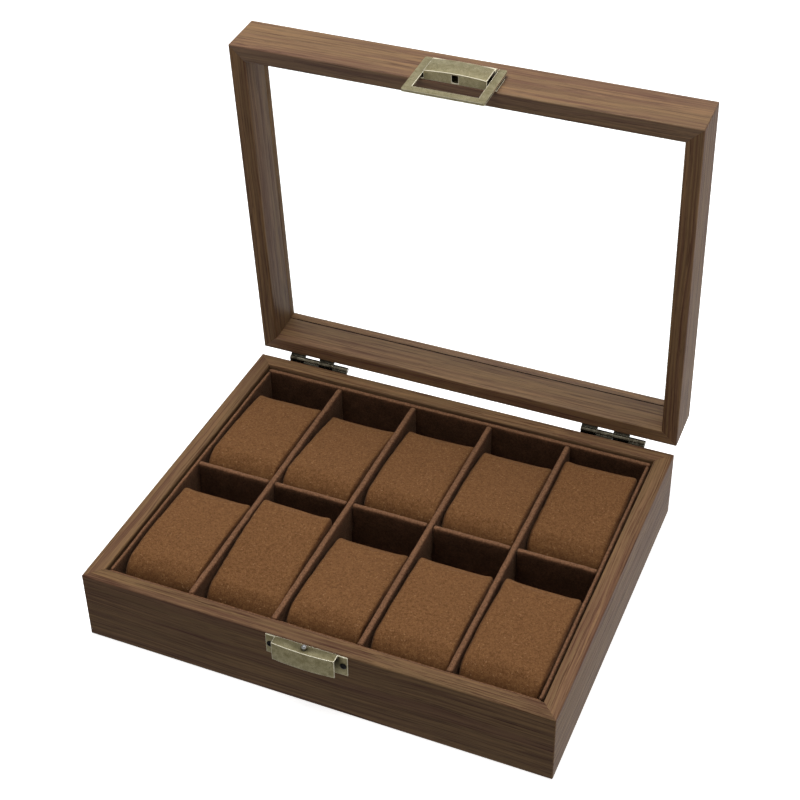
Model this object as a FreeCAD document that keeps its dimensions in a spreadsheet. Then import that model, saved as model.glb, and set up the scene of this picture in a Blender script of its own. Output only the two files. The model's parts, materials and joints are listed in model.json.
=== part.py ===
"""Watch box: a mitred wooden base with a flocked ten-cell liner and ten lift-out
cushions, a glazed lid on two knuckle hinges, and a stamped loop clasp in front.

Frame: X to the right, Y to the rear, Z up, in millimetres. The origin is the middle
of the base's underside. The box stands open, with its lid resting on the hinge stops.
"""

import FreeCAD, Part
import math
import os
import Sketcher
from FreeCAD import Placement, Rotation, Vector

DIMENSIONS = {
    # box
    "width": 250,
    "depth": 202,
    "base_height": 41,
    "lid_height": 27,
    "rail": 9,  # thickness of every wall and lid rail
    "edge_round": 0.9,
    "parting_gap": 0.2,  # between the closed lid and the base
    "open_angle": 86,
    # bottom panel, let into a rebate of the walls
    "panel": 3,
    "panel_bearing": 4,
    "panel_play": 0.2,
    # liner
    "liner_gap": 1,  # to the walls at the sides and rear
    "liner_front_gap": 0.2,
    "liner_side": 2.2,
    "liner_front": 1.4,
    "liner_rear": 3.2,
    "liner_drop": 1,  # liner's top below the rim of the base
    "liner_floor": 1.2,
    "divider": 3.4,
    "divider_round": 1.2,
    "lap_play": 0.1,
    # cushions
    "cushion_length": 68,
    "cushion_height": 34.5,
    "cushion_crown": 1.2,  # rise of the top between its two ends
    "cushion_play": 0.5,  # to the cell on each side
    "cushion_lift": 0.3,  # above the liner's floor
    "cushion_round": 4,
    # glass and its groove
    "glass": 2,
    "glass_play": 0.2,
    "glass_height": 19.4,  # groove above the lid's lower rim
    "groove_depth": 4,
    "lip": 7.6,  # width of the rail above the glass
    # hinges
    "hinge_centre": 89.4,
    "hinge_offset": 3,  # axis behind the back faces
    "knuckle": 9.2,
    "knuckle_gap": 0.1,
    "barrel": 1.5,  # radius
    "hinge_pin": 0.75,  # radius
    "pin_play": 0.04,
    "leaf": 0.8,
    "leaf_height": 12,
    "leaf_start": 1.6,  # from the axis to the near edge of the leaf
    "neck_start": 2.8,  # from the axis to where a knuckle's neck leaves the leaf
    "leaf_screw": 11,  # screws either side of the hinge's middle
    "tail_reach": 3.6,  # stop tail of the lid's knuckles, from the axis
    "tail_angle": 240,  # its direction from the rear horizontal, with the lid open
    # clasp: heights are measured from the rim that each plate is screwed beside
    "plate": 0.7,
    "plate_half": 21.7,
    "plate_height": 12.2,
    "plate_inset": 0.4,
    "hook_half": 16.6,
    "hook_depth": 5,
    "hook_bow": 0.9,  # how far the hook's front bulges
    "hook_height": 11.2,
    "clasp_screw": 19.4,
    "loop_half": 21.7,
    "loop_window": 17.3,  # half of the loop's inner width
    "loop_thickness": 1.4,
    "loop_bar": 4.3,
    "loop_corner": 1,
    "loop_over": 2.1,  # loop above its pivot
    "loop_under": 30.7,  # loop below its pivot
    "pivot_height": 14.2,
    "pivot_offset": 2.5,  # in front of the lid's face
    "pivot_rod": 1,  # radius
    "pivot_play": 0.08,
    "rod_sink": 0.5,  # rod's ends run this far into the loop's sides
    "roll": 1.75,  # radius of the plate's rolled edge
    "roll_joint": 0.25,  # overlap of the roll and the strip it is rolled from
    "stud": 1.4,  # radius of the locating ball
    "stud_neck": 1.1,
    "stud_rise": 0.5,  # middle of the ball above the base's rim
    "stud_play": 0.3,  # to the slot in the lid's plate, on each side
    # screws
    "shank": 0.9,
    "shank_length": 6.5,
    "point": 1.6,  # length of the screw's point
    "head": 1.7,
    "head_height": 0.8,
    "screw_play": 0.05,
    "hole_spare": 0.5,  # screw holes are this much deeper than the screws
    "plate_hole": 1.1,  # screw hole in the hinges and plates, radius
}

# front edge of each cushion behind the front of its cell, front row first, left to right
CUSHION_SETBACK = [5.2, 6.8, 3.6, 2.6, 1.8, 1.4, 1.6, 5.4, 3.0, 8.0]

COLUMNS = 5
PAST = 1  # how far a cutting outline reaches past what it cuts, in mm

doc = FreeCAD.newDocument("watch_box")
sheet = doc.addObject("Spreadsheet::Sheet", "dims")
for row, (alias, number) in enumerate(DIMENSIONS.items(), start=1):
    sheet.set(f"A{row}", str(number))
    sheet.setAlias(f"A{row}", alias)
doc.recompute()

parts = []


def size(expression):
    """The value in mm of an expression over the spreadsheet's aliases."""
    return float(sheet.evalExpression(expression))


# ---------------------------------------------------------------- places

HALF_DEPTH = size("dims.depth / 2")
RIM = size("dims.base_height + dims.parting_gap")  # closed lid's lower rim
AXIS_Y = size("dims.depth / 2 + dims.hinge_offset")
AXIS_Z = size("dims.base_height + dims.parting_gap / 2")

_axis = Placement(Vector(0, AXIS_Y, AXIS_Z), Rotation())
_swing = Placement(Vector(), Rotation(Vector(-1, 0, 0), size("dims.open_angle")))
OPEN_LID = _axis.multiply(_swing).multiply(_axis.inverse())  # closed lid to open lid


def at(x, y, z, turn=0):
    """A place in the box's frame, turned about Z by this many degrees."""
    return Placement(Vector(x, y, z), Rotation(Vector(0, 0, 1), turn))


def on_lid(x, y, z, turn=0):
    """A place on the lid, given where it is with the lid closed."""
    return OPEN_LID.multiply(at(x, y, z, turn))


def keep(obj, name, placement):
    """Name a sub-part, put it in place and list it for export."""
    obj.Label = name
    obj.Placement = placement
    parts.append(obj)
    return obj


# ---------------------------------------------------------------- modelling helpers


def new_body(name):
    return doc.addObject("PartDesign::Body", name)


def origin_plane(body, role):
    return next(o for o in body.Origin.OriginFeatures if o.Role == role)


def sketch_on(body, role, name, offset="0"):
    """An empty sketch on an origin plane, moved along its normal by an expression."""
    sketch = body.newObject("Sketcher::SketchObject", name)
    sketch.AttachmentSupport = [(origin_plane(body, role), "")]
    sketch.MapMode = "FlatFace"
    sketch.setExpression("AttachmentOffset.Base.z", offset)
    return sketch


def pin_point(sketch, geometry, point, where):
    """Bind one point of a sketch to two expressions."""
    for kind, expression in zip(("DistanceX", "DistanceY"), where):
        constraint = Sketcher.Constraint(kind, -1, 1, geometry, point, size(expression))
        index = sketch.addConstraint(constraint)
        sketch.setExpression(f"Constraints[{index}]", expression)


def polygon(sketch, corners):
    """A closed outline through corners, each a pair of expressions."""
    first = sketch.GeometryCount
    values = [Vector(size(x), size(y), 0) for x, y in corners]
    for i, start in enumerate(values):
        sketch.addGeometry(Part.LineSegment(start, values[(i + 1) % len(values)]), False)
    for i, where in enumerate(corners):
        after = first + (i + 1) % len(corners)
        sketch.addConstraint(Sketcher.Constraint("Coincident", first + i, 2, after, 1))
        pin_point(sketch, first + i, 1, where)


def rectangle(sketch, x0, x1, y0, y1):
    polygon(sketch, [(x0, y0), (x1, y0), (x1, y1), (x0, y1)])


def circle(sketch, x, y, radius):
    centre = Vector(size(x), size(y), 0)
    index = sketch.addGeometry(Part.Circle(centre, Vector(0, 0, 1), size(radius)), False)
    pin_point(sketch, index, 3, (x, y))
    number = sketch.addConstraint(Sketcher.Constraint("Radius", index, size(radius)))
    sketch.setExpression(f"Constraints[{number}]", radius)


def pad(body, sketch, length, centred=True):
    feature = body.newObject("PartDesign::Pad", sketch.Name + "_pad")
    feature.Profile = sketch
    feature.setExpression("Length", length)
    feature.Midplane = centred
    doc.recompute()
    return feature


def pocket(body, sketch, length=None):
    """Cut a sketch away: by a length to one side, or right through both ways."""
    before = body.Shape.Volume
    feature = body.newObject("PartDesign::Pocket", sketch.Name + "_cut")
    feature.Profile = sketch
    if length is None:
        feature.Type = "ThroughAll"
        feature.Midplane = True
    else:
        feature.setExpression("Length", length)
    doc.recompute()
    if body.Shape.Volume > before - 1e-3:
        raise RuntimeError(f"{feature.Name} removes nothing")
    return feature


def pattern_along_x(body, name, features, spacing, count):
    """Repeat features along X at this spacing."""
    pattern = body.newObject("PartDesign::LinearPattern", name)
    pattern.Originals = features
    pattern.Direction = (origin_plane(body, "X_Axis"), [""])
    pattern.setExpression("Length", f"({spacing}) * {count - 1}")
    pattern.Occurrences = count
    body.Tip = pattern
    doc.recompute()
    return pattern


def mirror_across_yz(body, name, features):
    mirrored = body.newObject("PartDesign::Mirrored", name)
    mirrored.Originals = features
    mirrored.MirrorPlane = (origin_plane(body, "YZ_Plane"), [""])
    body.Tip = mirrored
    doc.recompute()
    return mirrored


def edges_near(shape, wanted):
    """Names of the edges for which wanted(middle point, length) is true."""
    found = []
    for number, edge in enumerate(shape.Edges, start=1):
        if wanted(edge.CenterOfMass, edge.Length):
            found.append(f"Edge{number}")
    return found


def round_edges(body, feature, radius, wanted):
    fillet = body.newObject("PartDesign::Fillet", body.Name + "_round")
    fillet.Base = (feature, edges_near(feature.Shape, wanted))
    fillet.setExpression("Radius", radius)
    doc.recompute()
    return fillet


def box(name, length, width, height, placement):
    """A plain block, centred on X and Y, standing on its placement's origin."""
    block = doc.addObject("Part::Box", name)
    for prop, expression in zip(("Length", "Width", "Height"), (length, width, height)):
        block.setExpression(prop, expression)
    middle = Placement(Vector(-size(length) / 2, -size(width) / 2, 0), Rotation())
    return keep(block, name, placement.multiply(middle))


# ---------------------------------------------------------------- mitred rails


def mitre_rail(name, length, outline, placement, holes=()):
    """A rail of this section, mitred at both ends, with blind screw holes from outside.

    The section is drawn with its outer face on y = 0 and the inside towards +y.
    """
    body = new_body(name)
    section = sketch_on(body, "YZ_Plane", name + "_section")
    polygon(section, outline)
    blank = pad(body, section, length)
    top = max(size(z) for _, z in outline)
    long_edge = size(length) - 1

    def outer_or_rim(middle, edge_length):
        outer = abs(middle.y) < 0.01 and (middle.z < 0.01 or middle.z > top - 0.01)
        inner_rim = middle.y > size("dims.lip") - 0.01 and middle.z > top - 0.01
        lower_rim = middle.y > size("dims.rail") - 0.01 and middle.z < 0.01
        return edge_length > long_edge and (outer or inner_rim or lower_rim)

    round_edges(body, blank, "dims.edge_round", outer_or_rim)
    cut_mitres(body, name, length)
    if holes:
        drill = sketch_on(body, "XZ_Plane", name + "_holes")
        for x, z in holes:
            circle(drill, x, z, "dims.shank + dims.screw_play")
        pocket(body, drill, "dims.shank_length + dims.hole_spare")
    return keep(body, name, placement)


def cut_mitres(body, name, length):
    """Cut both ends at 45 degrees, and round the box's upright corner."""
    end = f"({length}) / 2"
    corner = "dims.edge_round"
    bite = f"{corner} * {1 - math.sqrt(0.5)}"  # where the rounding meets the mitre
    outline = [
        (f"{end} - {corner}", "0"),
        (f"{end} - {corner}", f"-{PAST}"),
        (f"{end} + {PAST}", f"-{PAST}"),
        (f"{end} + {PAST}", f"dims.rail + {PAST}"),
        (f"{end} - dims.rail - {PAST}", f"dims.rail + {PAST}"),
        (f"{end} - {bite}", bite),
    ]
    sketch = sketch_on(body, "XY_Plane", name + "_mitre")
    values = [Vector(size(x), size(y), 0) for x, y in outline]
    for start, stop in zip(values, values[1:]):
        sketch.addGeometry(Part.LineSegment(start, stop), False)
    arc = len(values) - 1
    radius = size(corner)
    circle_of_arc = Part.Circle(values[0] + Vector(0, radius, 0), Vector(0, 0, 1), radius)
    sketch.addGeometry(Part.ArcOfCircle(circle_of_arc, 1.5 * math.pi, 1.75 * math.pi), False)
    for i in range(arc - 1):
        sketch.addConstraint(Sketcher.Constraint("Coincident", i, 2, i + 1, 1))
    sketch.addConstraint(Sketcher.Constraint("Coincident", arc, 2, arc - 1, 2))
    sketch.addConstraint(Sketcher.Constraint("Coincident", arc, 1, 0, 1))
    for i, where in enumerate(outline[:-1]):
        pin_point(sketch, i, 1, where)
    pin_point(sketch, arc - 1, 2, outline[-1])
    number = sketch.addConstraint(Sketcher.Constraint("Radius", arc, radius))
    sketch.setExpression(f"Constraints[{number}]", corner)
    cut = pocket(body, sketch)
    mirror_across_yz(body, name + "_mitres", [cut])


def around_the_box(prefix, kind, outline, place, z, holes):
    """The four rails of a frame: front, rear, left and right."""
    half_width = size("dims.width / 2")
    sides = {
        "front": ("dims.width", (0, -HALF_DEPTH, z, 0)),
        "rear": ("dims.width", (0, HALF_DEPTH, z, 180)),
        "left": ("dims.depth", (-half_width, 0, z, 270)),
        "right": ("dims.depth", (half_width, 0, z, 90)),
    }
    for side, (length, where) in sides.items():
        mitre_rail(f"{prefix}_{side}_{kind}", length, outline, place(*where),
                   holes.get(side, ()))


def screw_places(z_hinge, z_clasp):
    """Screw holes in the front and rear rails, as (x, z) in the rail's own frame."""
    hinge = [
        (f"{side} * (dims.hinge_centre + {way} * dims.leaf_screw)", z_hinge)
        for side in (-1, 1)
        for way in (-1, 1)
    ]
    clasp = [(f"{side} * dims.clasp_screw", z_clasp) for side in (-1, 1)]
    return {"rear": hinge, "front": clasp}


LEAF_SCREW = "(dims.leaf_start + dims.leaf_height * 0.6)"
CLASP_SCREW = "(dims.plate_inset + dims.plate_height / 2)"


def make_base_walls():
    section = [
        ("0", "0"),
        ("dims.rail - dims.panel_bearing", "0"),
        ("dims.rail - dims.panel_bearing", "dims.panel + dims.panel_play"),
        ("dims.rail", "dims.panel + dims.panel_play"),
        ("dims.rail", "dims.base_height"),
        ("0", "dims.base_height"),
    ]
    holes = screw_places(
        f"dims.base_height + dims.parting_gap / 2 - {LEAF_SCREW}",
        f"dims.base_height - {CLASP_SCREW}",
    )
    around_the_box("base", "wall", section, at, 0, holes)


def make_lid_rails():
    groove_top = "dims.glass_height + dims.glass + dims.glass_play"
    section = [
        ("0", "0"),
        ("dims.rail", "0"),
        ("dims.rail", "dims.glass_height"),
        ("dims.rail - dims.groove_depth", "dims.glass_height"),
        ("dims.rail - dims.groove_depth", groove_top),
        ("dims.lip", groove_top),
        ("dims.lip", "dims.lid_height"),
        ("0", "dims.lid_height"),
    ]
    holes = screw_places(f"{LEAF_SCREW} - dims.parting_gap / 2", CLASP_SCREW)
    around_the_box("lid", "rail", section, on_lid, RIM, holes)


def make_panels():
    """The bottom panel in its rebate, and the glass in its groove."""
    inset = "2 * (dims.rail - dims.panel_bearing + dims.panel_play)"
    box("bottom_panel", f"dims.width - {inset}", f"dims.depth - {inset}",
        "dims.panel", at(0, 0, 0))
    inset = "2 * (dims.rail - dims.groove_depth + dims.glass_play)"
    z = RIM + size("dims.glass_height + dims.glass_play / 2")
    box("glass_pane", f"dims.width - {inset}", f"dims.depth - {inset}",
        "dims.glass", on_lid(0, 0, z))


# ---------------------------------------------------------------- liner

LINER_WIDTH = "(dims.width - 2 * dims.rail - 2 * dims.liner_gap)"
LINER_DEPTH = "(dims.depth - 2 * dims.rail - dims.liner_gap - dims.liner_front_gap)"
LINER_HEIGHT = "(dims.base_height - dims.liner_drop - dims.panel - dims.liner_floor)"
INNER_WIDTH = f"({LINER_WIDTH} - 2 * dims.liner_side)"
INNER_DEPTH = f"({LINER_DEPTH} - dims.liner_front - dims.liner_rear)"
CELL_WIDTH = f"(({INNER_WIDTH} - {COLUMNS - 1} * dims.divider) / {COLUMNS})"
COLUMN_PITCH = f"({CELL_WIDTH} + dims.divider)"
LINER_FOOT = size("dims.panel + dims.liner_floor")
LINER_FRONT = size("dims.rail + dims.liner_front_gap - dims.depth / 2")  # its front face
INNER_FRONT = LINER_FRONT + size("dims.liner_front")
INNER_MIDDLE = INNER_FRONT + size(INNER_DEPTH) / 2


def strip(name, length, thickness, placement, slots=(), slot_low="0", slot_high="0"):
    """An upright strip of board with a rounded top, and slots to lap it over a divider."""
    body = new_body(name)
    section = sketch_on(body, "YZ_Plane", name + "_section")
    rectangle(section, f"-{thickness} / 2", f"{thickness} / 2", "0", LINER_HEIGHT)
    blank = pad(body, section, length)
    top = size(LINER_HEIGHT)
    long_edge = size(length) - 1
    radius = f"min(dims.divider_round; {thickness} * 0.4)"
    round_edges(body, blank, radius,
                lambda middle, run: run > long_edge and middle.z > top - 0.01)
    if slots:
        lap = sketch_on(body, "XZ_Plane", name + "_lap")
        reach = "(dims.divider + dims.lap_play) / 2"
        for x in slots:
            rectangle(lap, f"{x} - {reach}", f"{x} + {reach}", slot_low, slot_high)
        pocket(body, lap)
    return keep(body, name, placement)


def make_liner():
    liner_middle = LINER_FRONT + size(LINER_DEPTH) / 2
    box("liner_floor", LINER_WIDTH, LINER_DEPTH, "dims.liner_floor",
        at(0, liner_middle, size("dims.panel")))
    y = LINER_FRONT + size("dims.liner_front / 2")
    strip("liner_front_strip", LINER_WIDTH, "dims.liner_front", at(0, y, LINER_FOOT))
    y = LINER_FRONT + size(f"{LINER_DEPTH} - dims.liner_rear / 2")
    strip("liner_rear_strip", LINER_WIDTH, "dims.liner_rear", at(0, y, LINER_FOOT))
    x = size(f"({LINER_WIDTH} - dims.liner_side) / 2")
    strip("liner_left_strip", INNER_DEPTH, "dims.liner_side",
          at(-x, INNER_MIDDLE, LINER_FOOT, 90))
    strip("liner_right_strip", INNER_DEPTH, "dims.liner_side",
          at(x, INNER_MIDDLE, LINER_FOOT, 90))


def make_dividers():
    """Four dividers front to back, half lapped over one that runs the box's width."""
    half = f"{LINER_HEIGHT} / 2"
    lines = [f"({n} * {COLUMN_PITCH})" for n in (-1.5, -0.5, 0.5, 1.5)]
    strip("divider_across", INNER_WIDTH, "dims.divider", at(0, 0, LINER_FOOT),
          lines, half, LINER_HEIGHT)
    for number, x in enumerate(lines, start=1):
        strip(f"divider_lengthwise_{number}", INNER_DEPTH, "dims.divider",
              at(size(x), INNER_MIDDLE, LINER_FOOT, 90), [f"{-INNER_MIDDLE}"], "0", half)


# ---------------------------------------------------------------- cushions


def make_cushion(name, x, y):
    """A pillow with a crowned top, its front edge at y."""
    body = new_body(name)
    side = sketch_on(body, "YZ_Plane", name + "_side")
    low = "(dims.cushion_height - dims.cushion_crown)"
    ends = ("0", "dims.cushion_length")
    values = [
        Vector(size(ends[0]), 0, 0),
        Vector(size(ends[1]), 0, 0),
        Vector(size(ends[1]), size(low), 0),
        Vector(size(ends[0]), size(low), 0),
    ]
    for i in (0, 1, 3):
        side.addGeometry(Part.LineSegment(values[i], values[(i + 1) % 4]), False)
    top = Vector(size("dims.cushion_length / 2"), size("dims.cushion_height"), 0)
    side.addGeometry(Part.Arc(values[2], top, values[3]), False)
    bottom, rear, front, crown = range(4)
    side.addConstraint(Sketcher.Constraint("Coincident", bottom, 2, rear, 1))
    side.addConstraint(Sketcher.Constraint("Coincident", front, 2, bottom, 1))
    side.addConstraint(Sketcher.Constraint("Coincident", rear, 2, crown, 1))
    side.addConstraint(Sketcher.Constraint("Coincident", crown, 2, front, 1))
    pin_point(side, bottom, 1, (ends[0], "0"))
    pin_point(side, bottom, 2, (ends[1], "0"))
    pin_point(side, crown, 1, (ends[1], low))
    pin_point(side, crown, 2, (ends[0], low))
    sagitta = "dims.cushion_crown"
    radius = f"(dims.cushion_length ^ 2 / 4 + {sagitta} ^ 2) / (2 * {sagitta})"
    number = side.addConstraint(Sketcher.Constraint("Radius", crown, size(radius)))
    side.setExpression(f"Constraints[{number}]", radius)
    blank = pad(body, side, f"{CELL_WIDTH} - 2 * dims.cushion_play")
    round_edges(body, blank, "dims.cushion_round", lambda middle, run: True)
    return keep(body, name, at(x, y, LINER_FOOT + size("dims.cushion_lift")))


def make_cushions():
    fronts = [INNER_FRONT, size("dims.divider") / 2]
    for number, setback in enumerate(CUSHION_SETBACK):
        row, column = divmod(number, COLUMNS)
        x = (column - (COLUMNS - 1) / 2) * size(COLUMN_PITCH)
        make_cushion(f"cushion_{number + 1:02d}", x, fronts[row] + setback)


# ---------------------------------------------------------------- hinges


def make_leaf(name, up, first, placement):
    """A hinge leaf with two knuckles, drawn about the hinge's axis.

    up is 1 for the lid's leaf and -1 for the base's; first is the gap, in knuckles,
    before its first knuckle. The lid's knuckles carry the tails that stop the lid.
    """
    body = new_body(name)
    back = "-dims.hinge_offset"
    face = "(dims.leaf - dims.hinge_offset)"
    near = f"{up} * dims.leaf_start"
    far = f"{up} * (dims.leaf_start + dims.leaf_height)"
    leaf = sketch_on(body, "YZ_Plane", name + "_leaf")
    rectangle(leaf, back, face, *((near, far) if up > 0 else (far, near)))
    pad(body, leaf, "4 * dims.knuckle")

    start = f"({first} - 2) * dims.knuckle + dims.knuckle_gap / 2"
    run = "dims.knuckle - dims.knuckle_gap"
    barrel = sketch_on(body, "YZ_Plane", name + "_barrel", start)
    circle(barrel, "0", "0", "dims.barrel")
    neck = sketch_on(body, "YZ_Plane", name + "_neck", start)
    inside = "0.9 * dims.barrel"  # the neck's end lies just inside the barrel
    polygon(neck, [
        (back, near),
        (face, f"{up} * dims.neck_start"),
        *[(f"{inside} * cos({angle})", f"{up} * {inside} * sin({angle})")
          for angle in (110, 170)],
    ])
    knuckle = [pad(body, barrel, run, False), pad(body, neck, run, False)]
    if up > 0:
        tail = sketch_on(body, "YZ_Plane", name + "_tail", start)
        draw_tail(tail)
        knuckle.append(pad(body, tail, run, False))
    pattern_along_x(body, name + "_knuckles", knuckle, "2 * dims.knuckle", 2)

    bore = sketch_on(body, "YZ_Plane", name + "_bore")
    circle(bore, "0", "0", "dims.hinge_pin + dims.pin_play")
    pocket(body, bore)
    holes = sketch_on(body, "XZ_Plane", name + "_holes")
    for side in (-1, 1):
        circle(holes, f"{side} * dims.leaf_screw", f"{up} * {LEAF_SCREW}",
               "dims.plate_hole")
    pocket(body, holes)
    return keep(body, name, placement)


def draw_tail(sketch):
    """The stop tail: a strip from the barrel outwards, with the lid closed."""
    angle = "(dims.tail_angle + dims.open_angle)"
    corners = []
    for along, across in ((0.7, -1), (1, -1), (1, 1), (0.7, 1)):
        reach = "dims.tail_reach" if along == 1 else f"dims.barrel * {along}"
        half = f"{across} * dims.leaf / 2"
        corners.append((
            f"{reach} * cos({angle}) - {half} * sin({angle})",
            f"{reach} * sin({angle}) + {half} * cos({angle})",
        ))
    polygon(sketch, corners)


def make_hinges():
    for side, sign in (("left", -1), ("right", 1)):
        where = (sign * size("dims.hinge_centre"), AXIS_Y, AXIS_Z)
        make_leaf(f"hinge_leaf_lid_{side}", 1, 0, on_lid(*where))
        make_leaf(f"hinge_leaf_base_{side}", -1, 1, at(*where))
        pin = doc.addObject("Part::Cylinder", f"hinge_pin_{side}")
        pin.setExpression("Radius", "dims.hinge_pin")
        pin.setExpression("Height", "4 * dims.knuckle")
        start = Vector(where[0] - size("2 * dims.knuckle"), AXIS_Y, AXIS_Z)
        keep(pin, f"hinge_pin_{side}", Placement(start, Rotation(Vector(0, 1, 0), 90)))


# ---------------------------------------------------------------- clasp


def bowed_strip(sketch, near, far, straight_near):
    """Outline of a hook seen from above: from near to far in front of the face.

    The far edge bulges forwards, and so does the near one unless it is straight.
    """
    half = "dims.hook_half"
    radius = f"(({half} ^ 2 + dims.hook_bow ^ 2) / (2 * dims.hook_bow))"
    left, right = -size(half), size(half)

    def bulge(depth):
        middle = Vector(0, -size(f"{depth} + dims.hook_bow"), 0)
        start = Vector(left, -size(depth), 0)
        stop = Vector(right, -size(depth), 0)
        index = sketch.addGeometry(Part.Arc(start, middle, stop), False)
        number = sketch.addConstraint(Sketcher.Constraint("Radius", index, size(radius)))
        sketch.setExpression(f"Constraints[{number}]", radius)
        return index

    front = bulge(far)
    if straight_near:
        line = Part.LineSegment(Vector(left, -size(near), 0), Vector(right, -size(near), 0))
        back = sketch.addGeometry(line, False)
    else:
        back = bulge(near)
    for point, x in ((1, left), (2, right)):
        side = Part.LineSegment(Vector(x, -size(near), 0), Vector(x, -size(far), 0))
        index = sketch.addGeometry(side, False)
        sketch.addConstraint(Sketcher.Constraint("Coincident", index, 1, back, point))
        sketch.addConstraint(Sketcher.Constraint("Coincident", index, 2, front, point))
        sign = "-" if x < 0 else ""
        pin_point(sketch, index, 1, (sign + half, f"-({near})"))
        pin_point(sketch, index, 2, (sign + half, f"-({far})"))


def make_plate(name, up, hook_height, placement):
    """A clasp plate with its hook: up is 1 on the lid and -1, upside down, on the base.

    Its frame lies on the box's face and rim, so that the hook's shelf faces the rim.
    """
    body = new_body(name)
    inset = "dims.plate_inset"
    top = f"({inset} + dims.plate_height)"
    back = sketch_on(body, "XZ_Plane", name + "_back")
    ends = (inset, top) if up > 0 else (f"-{top}", f"-{inset}")
    rectangle(back, "-dims.plate_half", "dims.plate_half", *ends)
    pad(body, back, "dims.plate", False)

    def level(near, height):
        """Height of a layer's underside, for a layer this far from the rim."""
        return near if up > 0 else f"-({near} + {height})"

    shelf = sketch_on(body, "XY_Plane", name + "_shelf", level(inset, "dims.plate"))
    bowed_strip(shelf, "dims.plate / 2", "dims.hook_depth", True)
    pad(body, shelf, "dims.plate", False)
    front = sketch_on(body, "XY_Plane", name + "_front", level(inset, hook_height))
    bowed_strip(front, "dims.hook_depth - dims.plate", "dims.hook_depth", False)
    pad(body, front, hook_height, False)

    holes = sketch_on(body, "XZ_Plane", name + "_holes")
    for side in (-1, 1):
        circle(holes, f"{side} * dims.clasp_screw", f"{up} * {CLASP_SCREW}",
               "dims.plate_hole")
    pocket(body, holes)
    return keep(body, name, placement)


def add_roll(body):
    """The lid plate's upper edge, rolled round the loop's rod, and its slot for the stud."""
    strip_top = "(dims.pivot_height - dims.roll + dims.roll_joint)"
    neck = sketch_on(body, "XY_Plane", "roll_strip", f"{strip_top} - dims.plate")
    bowed_strip(neck, "dims.pivot_offset", "dims.hook_depth", True)
    pad(body, neck, "dims.plate", False)
    roll = sketch_on(body, "YZ_Plane", "roll_section")
    circle(roll, "-dims.pivot_offset", "dims.pivot_height", "dims.roll")
    pad(body, roll, "2 * dims.hook_half")
    bore = sketch_on(body, "YZ_Plane", "roll_bore")
    circle(bore, "-dims.pivot_offset", "dims.pivot_height", "dims.pivot_rod + dims.pivot_play")
    pocket(body, bore)
    slot = sketch_on(body, "XY_Plane", "stud_slot", "dims.plate_inset + dims.plate")
    reach = "(dims.stud + dims.stud_play)"
    rectangle(slot, f"-{reach}", reach, "-dims.hook_depth", "-dims.plate")
    pocket(body, slot, "dims.plate")


def make_loop(placement):
    """A flat frame with a rod across its top, which is its pivot."""
    name = "clasp_loop"
    body = new_body(name)
    frame = sketch_on(body, "XZ_Plane", "loop_frame")
    rectangle(frame, "-dims.loop_half", "dims.loop_half", "-dims.loop_under", "dims.loop_over")
    blank = pad(body, frame, "dims.loop_thickness")
    thickness = size("dims.loop_thickness")
    round_edges(body, blank, "dims.loop_corner",
                lambda middle, run: abs(middle.y) < 0.01 and abs(run - thickness) < 0.01)
    window = sketch_on(body, "XZ_Plane", "loop_window")
    rectangle(window, "-dims.loop_window", "dims.loop_window",
              "-dims.loop_under + dims.loop_bar", f"dims.loop_over + {PAST}")
    pocket(body, window)
    rod = sketch_on(body, "YZ_Plane", "loop_rod")
    circle(rod, "0", "0", "dims.pivot_rod")
    pad(body, rod, "2 * (dims.loop_window + dims.rod_sink)")
    return keep(body, name, placement)


def make_stud(placement):
    """The ball-headed stud that the lid plate's slot drops over."""
    body = new_body("catch_stud")
    profile = sketch_on(body, "XZ_Plane", "stud_profile")
    ball = "dims.stud"
    neck = "dims.stud_neck"
    neck_angle = 38  # where the ball meets its neck, below its middle
    neck_top = f"-{ball} * sin({neck_angle})"
    foot = f"({ball} + dims.stud_rise + dims.plate_inset + dims.plate)"
    steps = 8
    outline = [("0", f"-{foot}"), (neck, f"-{foot}"), (neck, neck_top)]
    for i in range(1, steps):
        angle = -neck_angle + (90 + neck_angle) * i / steps
        outline.append((f"{ball} * cos({angle})", f"{ball} * sin({angle})"))
    outline.append(("0", ball))
    polygon(profile, outline)
    turn = body.newObject("PartDesign::Revolution", "stud_turned")
    turn.Profile = profile
    turn.ReferenceAxis = (profile, ["V_Axis"])
    doc.recompute()
    return keep(body, "catch_stud", placement)


def make_clasp():
    rim = (0, -HALF_DEPTH, size("dims.base_height"))
    catch = make_plate("catch_plate", -1, "dims.hook_height", at(*rim))
    hole = sketch_on(catch, "XY_Plane", "stud_hole")
    circle(hole, "0", "-dims.pivot_offset", "dims.stud_neck + dims.screw_play")
    pocket(catch, hole, "dims.plate_inset + dims.plate")
    stud_y = -size("dims.depth / 2 + dims.pivot_offset")
    make_stud(at(0, stud_y, size("dims.base_height + dims.stud_rise")))

    lid_hook = "(dims.pivot_height - dims.roll + dims.roll_joint - dims.plate_inset)"
    plate = make_plate("clasp_plate", 1, lid_hook, on_lid(0, -HALF_DEPTH, RIM))
    add_roll(plate)
    make_loop(on_lid(0, stud_y, RIM + size("dims.pivot_height")))


# ---------------------------------------------------------------- screws


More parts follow.
